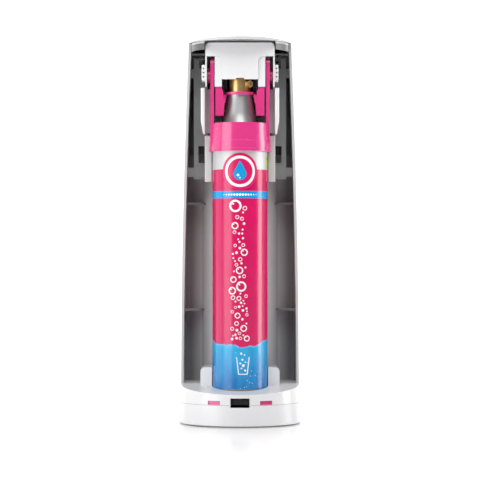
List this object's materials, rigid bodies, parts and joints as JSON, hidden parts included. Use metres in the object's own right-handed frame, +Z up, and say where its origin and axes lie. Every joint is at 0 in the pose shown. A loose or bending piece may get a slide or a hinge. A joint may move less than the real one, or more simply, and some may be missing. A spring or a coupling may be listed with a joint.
{
  "type": "soda carbonator",
  "caption": "Slim countertop soda carbonator with its rear cover off, showing a gas cylinder locked by a swing lever.",
  "frame": {"origin": "middle of the footprint, on the surface that the machine stands on", "axes": "+Z up; -Y to the front, where the bottle goes; +Y to the rear, where the gas cylinder is; +X to the right as seen from the front"},
  "size_m": [0.134, 0.19, 0.426],
  "materials": {
    "base_plastic": "satin white",
    "frame_plastic": "fine satin white",
    "shell_plastic": "fine grained grey",
    "liner_plastic": "fine grained grey",
    "crown_plastic": "satin light grey",
    "black_plastic": "matt black",
    "pink_plastic": "satin pink",
    "rubber": "matt",
    "seal_rubber": "matt",
    "hose_rubber": "satin braid",
    "cylinder_metal": "brushed",
    "label_film": "printed film",
    "valve_brass": "turned",
    "fastener_steel": "polished",
    "spring_steel": "drawn wire",
    "grille_steel": "brushed"
  },
  "bodies": {
    "housing": {"base_pan": "base_plastic", "rubber_feet": "rubber", "base_screws": "fastener_steel", "base_top": "base_plastic", "cover_latch": "black_plastic", "cover_catches": "pink_plastic", "cylinder_cradle": "base_plastic", "recess_panel": "shell_plastic", "side_wall_right": "shell_plastic", "side_wall_left": "shell_plastic", "head_shell": "shell_plastic", "bay_liner_right": "liner_plastic", "bay_liner_left": "liner_plastic", "top_cover": "crown_plastic", "head_frame": "frame_plastic", "rocker_pin": "fastener_steel", "side_bracket_right": "frame_plastic", "side_bracket_left": "frame_plastic", "guide_rail_right": "frame_plastic", "guide_rail_left": "frame_plastic", "pivot_bearing_right": "frame_plastic", "pivot_bearing_left": "frame_plastic", "valve_block": "black_plastic", "valve_gasket": "seal_rubber", "relief_valve": "valve_brass", "gas_hose": "hose_rubber", "swivel_elbow": "valve_brass", "valve_deck": "frame_plastic", "deck_screws": "fastener_steel"},
    "locking_lever": {"lever": "pink_plastic", "lever_pins": "fastener_steel"},
    "gas_cylinder": {"cylinder_holder": "pink_plastic", "cylinder_body": "cylinder_metal", "cylinder_label": "label_film", "cylinder_collar": "pink_plastic", "cylinder_valve": "valve_brass", "burst_plug": "valve_brass"},
    "valve_stem": {"valve_pin": "fastener_steel"},
    "button": {"carbonating_button": "frame_plastic", "button_spring": "spring_steel"},
    "rocker": {"press_rocker": "black_plastic"},
    "plunger": {"push_pin": "fastener_steel"},
    "nozzle_head": {"nozzle_block": "black_plastic", "bottle_gasket": "seal_rubber", "nozzle_tube": "frame_plastic", "bottle_socket": "black_plastic"},
    "claw_right": {"bottle_claw_right": "frame_plastic"},
    "claw_left": {"bottle_claw_left": "frame_plastic"},
    "tray": {"drip_tray": "black_plastic", "drip_grille": "grille_steel"}
  },
  "joints": [
    {"name": "lever_swing", "type": "hinge", "parent": "housing", "child": "locking_lever", "pos_m": [0, 0.045, 0.382], "axis": [1, 0, 0], "range_deg": [0, 90]},
    {"name": "cylinder_lift", "type": "slide", "parent": "housing", "child": "gas_cylinder", "axis": [0, 0, 1], "range_m": [-0.00502, 0]},
    {"name": "button_press", "type": "slide", "parent": "housing", "child": "button", "axis": [0, 0, -1], "range_m": [0, 0.007], "stiffness_N_per_m": 600, "springref_m": -0.002, "deforming": ["button_spring"]},
    {"name": "rocker_tilt", "type": "hinge", "parent": "housing", "child": "rocker", "pos_m": [0, 0.057, 0.404], "axis": [1, 0, 0], "range_deg": [0, 4.45]},
    {"name": "plunger_drop", "type": "slide", "parent": "housing", "child": "plunger", "axis": [0, 0, -1], "range_m": [0, 0.00095]},
    {"name": "valve_stem_drop", "type": "slide", "parent": "gas_cylinder", "child": "valve_stem", "axis": [0, 0, -1], "range_m": [0, 0.00095]},
    {"name": "head_tilt", "type": "hinge", "parent": "housing", "child": "nozzle_head", "pos_m": [0, -0.042, 0.33], "axis": [-1, 0, 0], "range_deg": [0, 20]},
    {"name": "claw_right_open", "type": "hinge", "parent": "nozzle_head", "child": "claw_right", "pos_m": [0.0229, -0.042, 0.3095], "axis": [0, -1, 0], "range_deg": [0, 8.1]},
    {"name": "claw_left_open", "type": "hinge", "parent": "nozzle_head", "child": "claw_left", "pos_m": [-0.0229, -0.042, 0.3095], "axis": [0, 1, 0], "range_deg": [0, 8.1]},
    {"name": "tray_lift", "type": "slide", "parent": "housing", "child": "tray", "axis": [0, 0, 1], "range_m": [0, 0.02]}
  ],
  "couplings": [
    {"joint": "cylinder_lift", "follows": "lever_swing", "m_per_rad": -0.003183},
    {"joint": "rocker_tilt", "follows": "button_press", "rad_per_m": 10.989},
    {"joint": "plunger_drop", "follows": "button_press", "ratio": 0.13187},
    {"joint": "valve_stem_drop", "follows": "button_press", "ratio": 0.13187},
    {"joint": "claw_right_open", "follows": "head_tilt", "ratio": 0.4},
    {"joint": "claw_left_open", "follows": "head_tilt", "ratio": 0.4}
  ]
}
